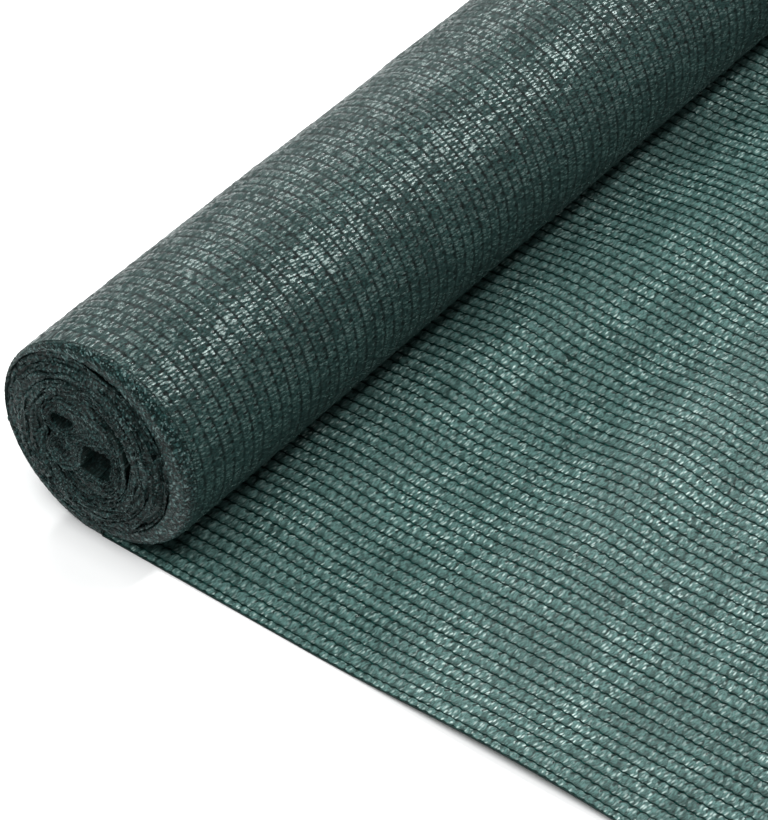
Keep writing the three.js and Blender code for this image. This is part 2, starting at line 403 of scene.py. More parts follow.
RAMP, MIX, MATH = "ShaderNodeValToRGB", "ShaderNodeMix", "ShaderNodeMath"
VECTOR = "ShaderNodeVectorMath"
NOISE, VORONOI, MAPPING = "ShaderNodeTexNoise", "ShaderNodeTexVoronoi", "ShaderNodeMapping"
FLAT = {"noise_dimensions": "2D"}
PLANE = {"voronoi_dimensions": "2D"}
COLOURS = {"data_type": "RGBA"}
DARKEN = {"data_type": "RGBA", "blend_type": "MULTIPLY"}
TIMES = {"operation": "MULTIPLY"}
TIMES_PLUS = {"operation": "MULTIPLY_ADD"}


def dashes(tree, grid, spots):
    """A mask of short soft dashes, one about each point of a shaken lattice: the distance from
    the nearest point, measured in the dash's own half sizes, and fewer of them by chance."""
    places = {"Vector": grid, "Location": spots["at"], "Scale": spots["each"]}
    places = add_node(tree, MAPPING, None, places).outputs[0]
    lattice = {"Vector": places, "Scale": 1.0, "Randomness": spots["shaken"]}
    nearest = add_node(tree, VORONOI, PLANE, lattice)
    away = {0: places, 1: nearest.outputs["Position"]}
    away = add_node(tree, VECTOR, {"operation": "SUBTRACT"}, away).outputs[0]
    sized = add_node(tree, VECTOR, TIMES, {0: away, 1: spots["sharp"]}).outputs[0]
    reach = add_node(tree, VECTOR, {"operation": "LENGTH"}, {0: sized}).outputs["Value"]
    mask = add_node(tree, RAMP, None, {"Fac": reach}, spots["edge"]).outputs[0]
    chance = add_node(tree, "ShaderNodeSeparateColor", None, {0: nearest.outputs["Color"]})
    some = add_node(tree, RAMP, None, {"Fac": chance.outputs[0]}, spots["some"]).outputs[0]
    return add_node(tree, MATH, TIMES, {0: mask, 1: some}).outputs[0]


def speckle(tree, lift, light, dark, speck, look):
    """The colour and the height of cloth seen edge on: a salt-and-pepper speckle of cut and folded
    ribbon, each fleck with its own shade, with a painted highlight on the raised places, over a
    smooth ground painted darker in the low places as painted shade."""
    place = add_node(tree, "ShaderNodeTexCoord").outputs["Object"]
    low = add_node(tree, RAMP, None, {"Fac": lift}, look["low"]).outputs[0]
    raised_highlight = add_node(tree, RAMP, None, {"Fac": lift}, look["raised_highlight"]).outputs[0]
    flecks = add_node(tree, VORONOI, None, {"Vector": place, "Scale": look["scale"]})
    chosen = add_node(tree, "ShaderNodeSeparateColor", None, {0: flecks.outputs["Color"]})
    core = add_node(tree, RAMP, None, {"Fac": flecks.outputs["Distance"]}, look["core"]).outputs[0]
    some = add_node(tree, RAMP, None, {"Fac": chosen.outputs[0]}, look["some"]).outputs[0]
    fleck = add_node(tree, MATH, TIMES, {0: core, 1: some}).outputs[0]
    # A painted highlight: the raised places are flecked pale too.
    fleck = add_node(tree, MATH, {"operation": "MAXIMUM"}, {0: fleck, 1: raised_highlight}).outputs[0]
    fleck = add_node(tree, MATH, TIMES, {0: fleck, 1: low}).outputs[0]
    grain = {"Vector": place, "Scale": look["grain"], "Detail": 2.0}
    grain = add_node(tree, NOISE, None, grain).outputs["Fac"]
    base = rgba(light)
    for factor, stops in ((grain, look["shade"]), (chosen.outputs[1], look["cells"])):
        shade = add_node(tree, RAMP, None, {"Fac": factor}, stops).outputs[0]
        base = add_node(tree, MIX, DARKEN, {0: 1.0, 6: base, 7: shade}).outputs[2]
    # Painted shade: the low places take the dark colour.
    base = add_node(tree, MIX, COLOURS, {0: low, 6: rgba(dark), 7: base}).outputs[2]
    base = add_node(tree, MIX, COLOURS, {0: fleck, 6: base, 7: rgba(speck)}).outputs[2]
    height = add_node(tree, MATH, None, {0: grain, 1: fleck}).outputs[0]
    return base, add_node(tree, MATH, TIMES, {0: height, 1: low}).outputs[0]


def speckled_material(name, light, dark, speck, look):
    """Tape seen edge on or drawn tight: dull, with the bump of its own flecks."""
    material, tree = new_material(name)
    lift = add_node(tree, "ShaderNodeAttribute", {"attribute_name": "lift"}).outputs["Fac"]
    base, height = speckle(tree, lift, light, dark, speck, look)
    bump = {"Height": height, "Distance": look["bump"] * MM}
    sockets = {
        "Base Color": base,
        "Roughness": look["rough"],
        "IOR": HDPE_IOR,
        "Specular IOR Level": look["specular"],
        "Normal": add_node(tree, "ShaderNodeBump", None, bump).outputs[0],
    }
    shader = add_node(tree, "ShaderNodeBsdfPrincipled", None, sockets)
    add_node(tree, "ShaderNodeOutputMaterial", None, {"Surface": shader.outputs[0]})
    return material


def knit_grid(tree, look):
    """The knit's own grid, from the piece's Knit UV map: the wale and the course of a place, with
    the courses leaning, and the same with each wale's courses shifted by a phase of its own."""
    uv = add_node(tree, "ShaderNodeUVMap", {"uv_map": "Knit"}).outputs[0]
    apart = add_node(tree, "ShaderNodeSeparateXYZ", None, {0: uv})
    wale, course = apart.outputs[0], apart.outputs[1]
    slant = {0: wale, 1: look["slant"], 2: course}
    slanted = add_node(tree, MATH, TIMES_PLUS, slant).outputs[0]
    grid = add_node(tree, "ShaderNodeCombineXYZ", None, {0: wale, 1: slanted}).outputs[0]
    number = add_node(tree, MATH, {"operation": "ROUND"}, {0: wale}).outputs[0]
    phase = add_node(tree, "ShaderNodeTexWhiteNoise", {"noise_dimensions": "1D"}, {"W": number})
    shifted = add_node(tree, MATH, None, {0: slanted, 1: phase.outputs["Value"]}).outputs[0]
    staggered = add_node(tree, "ShaderNodeCombineXYZ", None, {0: wale, 1: shifted}).outputs[0]
    return uv, wale, grid, staggered


def rim_side(tree, wale, last):
    """0 at both selvages and 1 past the rims: the distance in wales from the nearer selvage."""
    other = add_node(tree, MATH, {"operation": "SUBTRACT"}, {0: last, 1: wale}).outputs[0]
    inside = add_node(tree, MATH, {"operation": "MINIMUM"}, {0: wale, 1: other}).outputs[0]
    side = {"Value": inside, "From Min": RIM_WALES[0], "From Max": RIM_WALES[1]}
    return add_node(tree, "ShaderNodeMapRange", None, side).outputs[0]


def tape_material(name, tape, deep, painted_glint, look, rim=None):
    """Knitted flat HDPE tape: satin, in bunched ribbons that catch the light one by one.

    The tape is mottled as its ribbons lie over one another: painted shade in the mottle's low
    places and painted light on its tops, matching its bump, and painted shade in the knit's low
    places and along each pillar, which on the roll also stands for the dark stitch. Beside each
    pillar a small hole, painted with shade, comes once a course, staggered from wale to wale.
    Glossy dashes are single folds of ribbon, each with its own strength, in clusters, and are
    painted pale as a painted highlight besides their real gloss; the rest is duller. A rim, if
    given as its three colours and the number of the last wale, is speckled like cloth edge on."""
    material, tree = new_material(name)
    lift = add_node(tree, "ShaderNodeAttribute", {"attribute_name": "lift"}).outputs["Fac"]
    low = add_node(tree, RAMP, None, {"Fac": lift}, look["low"]).outputs[0]
    uv, wale, grid, staggered = knit_grid(tree, look)
    hole_shade = dashes(tree, staggered, look["shaded_holes"])
    glint = dashes(tree, grid, look["glints"])

    ribbons = add_node(tree, MAPPING, None, {"Vector": grid, "Scale": look["ribbons"]}).outputs[0]
    mottle = {"Vector": ribbons, "Scale": 1.0, "Detail": 3.0, "Roughness": 0.6}
    mottle = add_node(tree, NOISE, FLAT, mottle).outputs["Fac"]
    creases = {"Vector": uv, "Scale": look["creases"], "Detail": 1.0}
    crease = add_node(tree, NOISE, FLAT, creases).outputs["Fac"]
    breaks = {"Vector": grid, "Scale": look["breaks"], "Detail": 1.0}
    breaks = add_node(tree, NOISE, FLAT, breaks).outputs["Fac"]
    beside = add_node(tree, MATH, {"operation": "PINGPONG"}, {0: wale, 1: 0.5}).outputs[0]
    line = {0: breaks, 1: look["broken"], 2: beside}
    line = add_node(tree, MATH, TIMES_PLUS, line).outputs[0]
    for factor, stops in ((crease, look["here"]), (beside, look["between"])):
        share = add_node(tree, RAMP, None, {"Fac": factor}, stops).outputs[0]
        glint = add_node(tree, MATH, TIMES, {0: glint, 1: share}).outputs[0]

    # Painted shade: the low places, by lift, take the dark colour.
    base = add_node(tree, MIX, COLOURS, {0: low, 6: rgba(deep), 7: rgba(tape)}).outputs[2]
    # Painted shade and light by mottle, painted shade along each pillar, and random tone by patch.
    for factor, stops in ((mottle, look["shade"]), (line, look["pillar"]), (crease, look["patch"])):
        shade = add_node(tree, RAMP, None, {"Fac": factor}, stops).outputs[0]
        base = add_node(tree, MIX, DARKEN, {0: 1.0, 6: base, 7: shade}).outputs[2]
    # Painted highlight: the glinting dashes are painted pale, besides their real gloss below.
    base = add_node(tree, MIX, COLOURS, {0: glint, 6: base, 7: rgba(painted_glint)}).outputs[2]
    # Painted shade: each hole takes the dark colour.
    base = add_node(tree, MIX, COLOURS, {0: hole_shade, 6: base, 7: rgba(deep)}).outputs[2]

    dull, bright = look["rough"]
    rough = {"Value": glint, "From Max": 0.4, "To Min": dull, "To Max": bright}
    rough = add_node(tree, "ShaderNodeMapRange", None, rough).outputs[0]
    gloss = {"Value": glint, "From Max": 0.5, "To Min": look["dull"], "To Max": 1.0}
    gloss = add_node(tree, "ShaderNodeMapRange", None, gloss).outputs[0]
    if rim:
        *edge_colours, last = rim
        edge, _ = speckle(tree, lift, *edge_colours, EDGE_LOOK)
        side = rim_side(tree, wale, last)
        base = add_node(tree, MIX, COLOURS, {0: side, 6: edge, 7: base}).outputs[2]
        dulled = {"Value": side, "To Min": EDGE_LOOK["specular"] / look["specular"], "To Max": 1.0}
        dulled = add_node(tree, "ShaderNodeMapRange", None, dulled).outputs[0]
        gloss = add_node(tree, MATH, TIMES, {0: gloss, 1: dulled}).outputs[0]
    gleam = {0: gloss, 6: rgba((0, 0, 0)), 7: rgba(colour(GLEAM))}
    bump = {"Height": mottle, "Distance": look["bump"] * MM}
    sockets = {
        "Base Color": base,
        "Roughness": rough,
        "IOR": HDPE_IOR,
        "Specular IOR Level": look["specular"],
        "Specular Tint": add_node(tree, MIX, COLOURS, gleam).outputs[2],
        "Normal": add_node(tree, "ShaderNodeBump", None, bump).outputs[0],
    }
    shader = add_node(tree, "ShaderNodeBsdfPrincipled", None, sockets)
    add_node(tree, "ShaderNodeOutputMaterial", None, {"Surface": shader.outputs[0]})
    return material


# Light that the tape mirrors is a faint teal.
GLEAM = "#EEFFFB"
# HDPE's own index of refraction.
HDPE_IOR = 1.54
# Over these wales from a selvage, the look of cloth seen edge on gives way to that of tape.
RIM_WALES = (0.5, 0.9)

# Looks. Ramps are lists of place and level. slant leans the courses. Dashes, for the painted shade
# of holes and for glints: at and each place their lattice in wales and courses, shaken is how
# uneven it is, sharp is the inverse of a dash's half sizes, edge is its outline, and some thins the
# dashes out. ribbons and creases scale the mottle and the wide patches, here gathers the glints on
# patches, low darkens by lift as painted shade in the low places, shade darkens and lightens by
# mottle as painted shade and light of the bunched ribbons, pillar darkens by the distance from a
# pillar as painted shade beside it, on the roll also the dark stitch, and patch varies by patch.
# between keeps glints off the pillars, breaks and broken interrupt the pillars' lines, rough is
# of dull and glinting tape, dull and specular are the gloss of dull tape and of all tape, and
# bump is in millimetres.
LOOSE_LOOK = {
    "slant": -0.3,
    "shaded_holes": {
        "at": (0.28, 0.0, 0.0),
        "each": (1.0, 1.0, 1.0),
        "shaken": 0.2,
        "sharp": (3.4, 5.6, 0.0),
        "edge": [(0.6, 1.0), (1.0, 0.0)],
        "some": [(0.0, 0.5), (0.3, 1.0)],
    },
    "glints": {
        "at": (0.0, 0.0, 0.0),
        "each": (1.6, 2.3, 1.0),
        "shaken": 0.9,
        "sharp": (2.7, 4.0, 0.0),
        "edge": [(0.3, 1.0), (1.0, 0.0)],
        "some": [(0.05, 0.0), (0.55, 1.0)],
    },
    "ribbons": (2.6, 7.0, 1.0),
    "creases": 0.16,
    "here": [(0.42, 0.35), (0.6, 1.0)],
    "low": [(0.12, 0.25), (0.62, 1.0)],
    "shade": [(0.36, 0.47), (0.64, 1.35)],
    "breaks": 1.3,
    "broken": 0.0,
    "pillar": [(0.03, 0.5), (0.09, 1.0)],
    "between": [(0.04, 0.0), (0.1, 1.0)],
    "patch": [(0.3, 0.92), (0.7, 1.08)],
    "rough": (0.5, 0.15),
    "dull": 0.15,
    "bump": 0.35,
    "specular": 1.0,
}
ROLL_LOOK = {
    "slant": -0.2,
    "shaded_holes": {
        "at": (0.34, 0.0, 0.0),
        "each": (1.0, 1.0, 1.0),
        "shaken": 0.3,
        "sharp": (3.8, 6.6, 0.0),
        "edge": [(0.7, 1.0), (1.0, 0.0)],
        "some": [(0.0, 0.5), (0.3, 1.0)],
    },
    "glints": {
        "at": (0.0, 0.0, 0.0),
        "each": (2.0, 3.6, 1.0),
        "shaken": 0.8,
        "sharp": (1.8, 2.5, 0.0),
        "edge": [(0.3, 1.0), (1.0, 0.0)],
        "some": [(0.1, 0.0), (0.7, 1.0)],
    },
    "ribbons": (4.5, 9.0, 1.0),
    "creases": 0.25,
    "here": [(0.4, 0.6), (0.62, 1.0)],
    "low": [(0.0, 0.3), (0.6, 1.0)],
    "shade": [(0.36, 0.25), (0.64, 1.5)],
    "breaks": 1.3,
    "broken": 0.8,
    "pillar": [(0.34, 0.45), (0.5, 1.0)],
    "between": [(0.06, 0.0), (0.16, 1.0)],
    "patch": [(0.3, 0.9), (0.7, 1.1)],
    "rough": (0.55, 0.1),
    "dull": 0.07,
    "bump": 0.16,
    "specular": 1.0,
}
# Looks of speckle: scale and grain are per metre, core shapes a fleck and some thins the flecks
# out, low darkens by lift as painted shade in the low places, the highlight ramp whitens by lift
# as a painted highlight on the raised places, and cells and shade vary the ground.
EDGE_LOOK = {
    "scale": 1000.0,
    "core": [(0.15, 1.0), (0.45, 0.0)],
    "some": [(0.45, 0.0), (0.95, 1.0)],
    "grain": 900.0,
    "low": [(0.05, 0.0), (0.6, 1.0)],
    "raised_highlight": [(0.7, 0.0), (1.0, 0.9)],
    "cells": [(0.0, 0.1), (1.0, 2.1)],
    "shade": [(0.38, 0.3), (0.62, 1.9)],
    "rough": 0.5,
    "bump": 0.25,
    "specular": 0.16,
}
STITCH_LOOK = {
    "scale": 700.0,
    "core": [(0.1, 1.0), (0.3, 0.0)],
    "some": [(0.8, 0.0), (1.0, 0.6)],
    "grain": 500.0,
    "low": [(0.25, 0.0), (0.6, 1.0)],
    "raised_highlight": [(0.0, 0.0), (1.0, 0.0)],
    "cells": [(0.0, 0.8), (1.0, 1.2)],
    "shade": [(0.35, 0.6), (0.68, 1.5)],
    "rough": 0.6,
    "bump": 0.1,
    "specular": 0.04,
}


# ---------------------------------------------------------------------------------------------
# The loose end
# ---------------------------------------------------------------------------------------------

# Columns of points within a wale, rows of points within a course, and the wales of the near
# half. Each table that follows has a value for every one of these columns or rows.
LOOSE_PLACES = np.array([0.1, 0.34, 0.72, 0.9])
LOOSE_ROWS = 3
NEAR_WALES = 84
COLUMN_RISE = np.array([0.25, 0.85, 1.0, 0.35])
COLUMN_SCALLOP = np.array([0.22, 0.1, -0.1, -0.22])
COLUMN_TILT = np.array([0.1, 0.25, -0.3, -0.2])
ROW_RISE = np.array([0.35, 1.0, 0.85])
SELVAGE_RISE = 0.25

# How uneven the tapes are: each cell's fullness and its limits, each point's rise and its upper
# limit, and how far a point lies aside and along, in millimetres.
CELL_SPREAD = 0.2
CELL_LIMITS = (0.5, 1.35)
RISE_SPREAD = 0.22
HIGHEST_RISE = 1.25
POINT_ASIDE = 0.1
POINT_ALONG = 0.16

# Heights over the ground, in millimetres, and how finely the undersides are made.
BASE_THICKNESS = 0.4
TAPE_LOWEST = 0.46
TAPE_UNDERSIDE = 0.2
UNDER_COLUMNS = 3
UNDER_ROWS = 2 * LOOSE_ROWS
SHEET_COLUMNS = 85
SHEET_ROWS = 33

# The pillars' chains: from the selvage to the first and the last, the share of their width
# between knots, how far a knot lies aside, the heights of their underside and their top, how
# much higher the top is between knots, and how far a knot slants.
EDGE_CHAIN = 0.4
NARROW = 0.45
ZIGZAG = 0.3
CHAIN_UNDERSIDE = BASE_THICKNESS - 0.1
CHAIN_TOP = BASE_THICKNESS + 0.42
CHAIN_ARCH = 0.14
KNOT_SLANT = 0.55


def loose_length():
    """From the roll's line on the ground to the cut end, in millimetres."""
    return ROLL_LINE - LOOSE_BOX[0].y / MM


def loose_tape_points(sizes):
    """The upper face of the loose end, all over: points, UV and lift, rows by columns.

    Height over the base is the puff times the column's rise, the row's rise and the cell's own
    fullness. The pillars pull the tapes down to the base, wide at each knot and narrow between.
    """
    across, wales = wale_columns(sizes.wale_pitch / MM, LOOSE_PLACES)
    rows = sizes.loose_courses * LOOSE_ROWS + 1
    courses = np.arange(rows) / LOOSE_ROWS
    course = (loose_length() - SEAT_GAP) / sizes.loose_courses
    rng = np.random.default_rng(11)
    shape = (rows, len(across))
    column = (np.arange(len(across)) - 1) % len(LOOSE_PLACES)
    step = np.arange(rows) % LOOSE_ROWS

    wale = (wales + 1e-6).astype(int)
    wale_count = len(across) // len(LOOSE_PLACES) + 2
    cells = rng.normal(1.0, CELL_SPREAD, (sizes.loose_courses + 1, wale_count))
    full = cells[np.minimum(courses.astype(int), sizes.loose_courses)][:, wale]
    full = np.clip(full, *CELL_LIMITS)
    phase = rng.integers(0, 2, wale_count)[wale]
    row_rise = ROW_RISE[(step[:, None] + phase) % LOOSE_ROWS]
    uneven = rng.uniform(-RISE_SPREAD, RISE_SPREAD, shape)
    rise = COLUMN_RISE[column] * (row_rise * full + uneven)
    rise[:, 0] = rise[:, -1] = SELVAGE_RISE
    lift = np.clip(rise, 0, HIGHEST_RISE)
    height = TAPE_LOWEST + sizes.puff / MM * lift

    knot = np.cos(2 * math.pi * courses)[:, None]
    aside = rng.uniform(-POINT_ASIDE, POINT_ASIDE, shape)
    from_end = across + COLUMN_SCALLOP[column] * knot + aside
    from_roll = SEAT_GAP + course * courses[:, None] + COLUMN_TILT[column]
    from_roll = from_roll + rng.uniform(-POINT_ALONG, POINT_ALONG, shape)
    from_end = from_end + side_drift(across, from_roll)
    from_end[:, 0], from_end[:, -1] = 0.0, CLOTH_WIDTH
    from_end = np.clip(from_end, 0, CLOTH_WIDTH)
    from_roll[0], from_roll[-1] = SEAT_GAP, loose_length()
    from_roll = np.clip(from_roll, SEAT_GAP, loose_length())
    z = wave_height(from_end, from_roll) + height
    points = np.stack([NEAR_SELVAGE + from_end, ROLL_LINE - from_roll, z], axis=-1)
    uv = np.stack(np.broadcast_arrays(wales, courses[:, None]), axis=-1)
    return points, uv, lift


def closed_slab(top, column_step, row_step, under_height):
    """Closes a fine upper grid of points with a coarse underside of the same outline, and with
    walls between them. Returns all points and the face arrays."""
    rows, columns = top.shape[:2]
    under = top[::row_step, ::column_step].copy()
    from_end = under[..., 0] - NEAR_SELVAGE
    under[..., 2] = wave_height(from_end, ROLL_LINE - under[..., 1]) + under_height
    low_rows, low_columns = under.shape[:2]
    offset = rows * columns
    low = offset + np.arange(low_rows * low_columns).reshape(low_rows, low_columns)
    high = np.arange(offset).reshape(rows, columns)
    faces = [quads(rows, columns)[:, ::-1], offset + quads(low_rows, low_columns)]
    borders = [
        (high[0], low[0], column_step, False),
        (high[-1], low[-1], column_step, True),
        (high[:, 0], low[:, 0], row_step, True),
        (high[:, -1], low[:, -1], row_step, False),
    ]
    for fine, coarse, step, turned in borders:
        spans = np.arange(len(coarse) - 1)
        run = fine[spans[:, None] * step + np.arange(step + 1)]
        wall = np.concatenate([run, coarse[spans + 1][:, None], coarse[spans][:, None]], axis=1)
        faces.append(wall[:, ::-1] if turned else wall)
    return np.concatenate([top.reshape(-1, 3), under.reshape(-1, 3)]), faces


class FENCE_OT_loose_cloth(Operator):
    """Build the loose end's ground cloth, a thin sheet on its soft waves"""

    bl_idname = "fence_screen.loose_cloth"
    bl_label = "Loose end"

    def execute(self, context):
        colours = context.scene.fence_colours
        from_end = np.linspace(0, CLOTH_WIDTH, SHEET_COLUMNS)
        from_roll = np.linspace(SEAT_GAP, loose_length(), SHEET_ROWS)[:, None]
        z = wave_height(from_end, from_roll) + BASE_THICKNESS
        x, y = NEAR_SELVAGE + from_end, ROLL_LINE - from_roll
        top = np.stack(np.broadcast_arrays(x, y, z), axis=-1)
        points, faces = closed_slab(top, 1, 1, 0.0)
        uv = points[:, :2] / WALE_AND_COURSE
        # The ground cloth, hidden under the tapes, is painted all in the low tape's shade colour,
        # its glints in the loose tape's colour.
        material = tape_material(
            "HDPE tape underside",
            colours.loose_painted_shade,
            colours.loose_painted_shade,
            colours.loose_tape,
            LOOSE_LOOK,
        )
        lift = np.ones(len(points))
        piece = make_piece("loose_end_cloth", points, faces, material, uv, lift)
        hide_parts("loose_end")
        return {"FINISHED"}


class FENCE_OT_loose_tapes(Operator):
    """Build the lay-in tapes of the loose end, puffed up between the pillars"""

    bl_idname = "fence_screen.loose_tapes"
    bl_label = "Loose end tapes"

    def execute(self, context):
        sizes, colours = context.scene.fence_sizes, context.scene.fence_colours
        material = tape_material(
            "HDPE tape knitted in one layer",
            colours.loose_tape,
            colours.loose_painted_shade,
            colours.painted_glint,
            LOOSE_LOOK,
        )
        points, uv, lift = loose_tape_points(sizes)
        split = NEAR_WALES * len(LOOSE_PLACES) - 3
        for name, part in (("near", slice(0, split + 1)), ("far", slice(split, None))):
            top = points[:, part]
            slab, faces = closed_slab(top, UNDER_COLUMNS, UNDER_ROWS, TAPE_UNDERSIDE)
            under_uv = uv[:, part][::UNDER_ROWS, ::UNDER_COLUMNS].reshape(-1, 2)
            slab_uv = np.concatenate([uv[:, part].reshape(-1, 2), under_uv])
            # The underside's lift is 0, so it is painted with shade.
            slab_lift = np.concatenate([lift[:, part].ravel(), np.zeros(len(under_uv))])
            title = "loose_end_tapes_" + name
            piece = make_piece(title, slab, faces, material, slab_uv, slab_lift)
            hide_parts("loose_end")
        return {"FINISHED"}


class FENCE_OT_loose_stitches(Operator):
    """Build the pillar stitches of the loose end, one chain along every wale"""

    bl_idname = "fence_screen.loose_stitches"
    bl_label = "Loose end stitches"

    def execute(self, context):
        sizes, colours = context.scene.fence_sizes, context.scene.fence_colours
        material = speckled_material(
            "HDPE tape drawn into stitches",
            colours.stitch,
            colours.stitch_painted_shade,
            colours.loose_painted_shade,
            STITCH_LOOK,
        )
        points, faces, lift = stitch_chains(sizes)
        piece = make_piece("loose_end_stitches", points, faces, material, None, lift)
        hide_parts("loose_end")
        return {"FINISHED"}


def stitch_chains(sizes):
    """Every pillar of the loose end as a closed three-sided chain of stitches.

    The line zigzags a little from course to course. It is wide and low at each knot, and narrow
    and higher halfway between, where the stitch's legs cross over the tape."""
    pillars = np.arange(FIRST_WALE, CLOTH_WIDTH - 1, sizes.wale_pitch / MM)
    lines = np.concatenate([[EDGE_CHAIN], pillars, [CLOTH_WIDTH - EDGE_CHAIN]])
    stations = sizes.loose_courses * 2 + 1
    rng = np.random.default_rng(23)
    shape = (len(lines), stations)
    courses = np.arange(stations) / 2
    knot = (np.arange(stations) % 2 == 0).astype(float)
    length = loose_length() - SEAT_GAP
    from_roll = SEAT_GAP + length * courses / sizes.loose_courses + np.zeros(shape)
    zigzag = ZIGZAG * (knot - 0.5)
    from_end = lines[:, None] + zigzag + rng.uniform(-0.1, 0.1, shape)
    from_end = from_end + side_drift(from_end, from_roll)
    half = sizes.stitch / MM / 2 * (NARROW + (1 - NARROW) * knot)
    half = half * rng.uniform(0.85, 1.15, shape)
    top = CHAIN_TOP + CHAIN_ARCH * (1 - knot) + rng.uniform(-0.05, 0.05, shape)
    low = np.full(shape, CHAIN_UNDERSIDE)
    side = np.array([-1.0, 1.0, 0.0])
    height = np.stack([low, low, top], axis=-1)
    x = np.clip(from_end[..., None] + half[..., None] * side, 0, CLOTH_WIDTH)
    y = from_roll[..., None] + KNOT_SLANT * knot[:, None] * side
    y = np.clip(y, SEAT_GAP, loose_length())
    z = wave_height(x, y) + height
    points = np.stack([NEAR_SELVAGE + x, ROLL_LINE - y, z], axis=-1)
    one = quads(stations, 3, wrap_columns=True)
    first = np.arange(len(lines)) * stations * 3
    walls = (one + first[:, None, None]).reshape(-1, 4)
    last = first + (stations - 1) * 3
    caps = np.concatenate([first[:, None] + [2, 1, 0], last[:, None] + [0, 1, 2]])
    # The knots' lift is 0, so the material paints them with shade.
    lift = np.broadcast_to(1 - knot[:, None], x.shape).ravel()
    return points.reshape(-1, 3), [walls, caps], lift


# ---------------------------------------------------------------------------------------------
# The roll
# ---------------------------------------------------------------------------------------------

# Columns of points within a wale and rows within a course, with the rise of each row between
# pillars and on them.
ROLL_PLACES = np.array([0.0, 0.3, 0.7])
ROLL_ROWS = 4
RIDGE = np.array([0.6, 0.85, 0.62, 0.9])
DIMPLE = np.array([0.0, 0.5, 0.6, 0.45])
ROLL_RELIEF = 0.8
ROLL_DRIFT = 0.6

# The rims: where the knit's side stops, their columns of points, how far their rounding reaches
# down from the side, how far the cloth is folded over at the far end, how far it tucks in, and
# the depth of its relief.
SIDE_STOPS = 7.5
RIM_COLUMNS = 16
RIM_ROUND = 5.0
FAR_CUFF = 7.0
TUCK = 2.2
RIM_SUNK = 0.6 * ROLL_RELIEF
# How far the rounding reaches along the roll: its least, what more there is where it is deepest,
# and the angle of that place and its half width in degrees.
RIM_LEAST = 0.6
RIM_MORE = 6.4
RIM_DEEPEST = 245
RIM_SPREAD = 160
BEND_SHARE = 1.11 / math.sqrt(2)  # a quarter ellipse's length over its two half axes' sum

# The roll's plain inner wall, and where its rings lie from each end.
INNER_RADIUS = 36.0
INNER_RINGS = (9, 30)
MIDDLE_GAP = 2.0
MIDDLE_LAP = 0.03

# Soft crumples of the outermost turn: their wavelengths along the roll and round it, both over
# pi, and a phase. A wavelength below zero leans the other way.
CRUMPLES = (
    (23, 19, 0.3),
    (-31, 24, 1.9),
    (47, 16, 4.1),
    (-19, 33, 2.6),
    (36, 28, 5.2),
    (-58, 21, 0.9),
)
CRUMPLE_HEIGHT = 0.08


def contour_radius(contour, angle):
    """A contour's own radius at an angle from straight down towards +Y: an ellipse turned from
    level, times the swing of its corners."""
    level = angle - math.pi / 2 - np.radians(contour["turned"])
    a, b = contour["across"], contour["upright"]
    ellipse = a * b / np.hypot(b * np.cos(level), a * np.sin(level))
    swing = contour["corners"] * (angle - np.radians(contour["cornered"]))
    return ellipse * (1 + contour["corner"] * np.cos(swing))


def contours_at(table, turn):
    """The table's contours, read straight between its rows at each turn."""
    turns = [row.turn for row in table]
    return {
        key: np.interp(turn, turns, [getattr(row, key) for row in table])
        for key in Contour._fields
    }


def rim_depth(angle):
    """How far along the roll its rim's rounding reaches, at an angle round it."""
    return RIM_LEAST + RIM_MORE * hump((np.degrees(angle) - RIM_DEEPEST) / RIM_SPREAD)


def turn_radius(angle):
    """The outermost turn's radius, one step less once round."""
    return ROLL_RADIUS - TURN_STEP * angle / (2 * math.pi)


def sleeve_edge(angle):
    """The distance from the roll's axis, at each angle, to where the outermost cloth that is
    folded over the rim ends: the first contour of the wound end, seen from the axis."""
    first = RIM_TURNS[0]
    toward = first.back * np.sin(angle) - first.up * np.cos(angle)
    aside = first.back**2 + first.up**2 - toward**2
    return toward + np.sqrt(first.across**2 - aside)


def roll_relief(wales, courses, seed):
    """The knit's relief on the roll, 0 to 1: ridges of tape across each course, a dimple at
    each knot of the pillars, staggered from wale to wale, and each point's own unevenness."""
    rng = np.random.default_rng(seed)
    number = np.floor(wales + 0.3).astype(int)
    number = number - number.min()
    pillar = np.abs((wales + 0.3) % 1 - 0.3) < 0.04
    phase = rng.integers(0, ROLL_ROWS, number.max() + 1)[number]
    step = (np.arange(len(courses))[:, None] + phase) % ROLL_ROWS
    relief = np.where(pillar, DIMPLE[step], RIDGE[step]) + rng.normal(0, 0.17, step.shape)
    return np.clip(relief, 0, 1.15)


def crumple(from_end, along):
    """Small lasting creases of the wound cloth: the sum of slow oblique sines, a few tenths of
    a millimetre high."""
    sines = [np.sin(2 * from_end / a + 2 * along / b + phase) for a, b, phase in CRUMPLES]
    return CRUMPLE_HEIGHT * sum(sines)


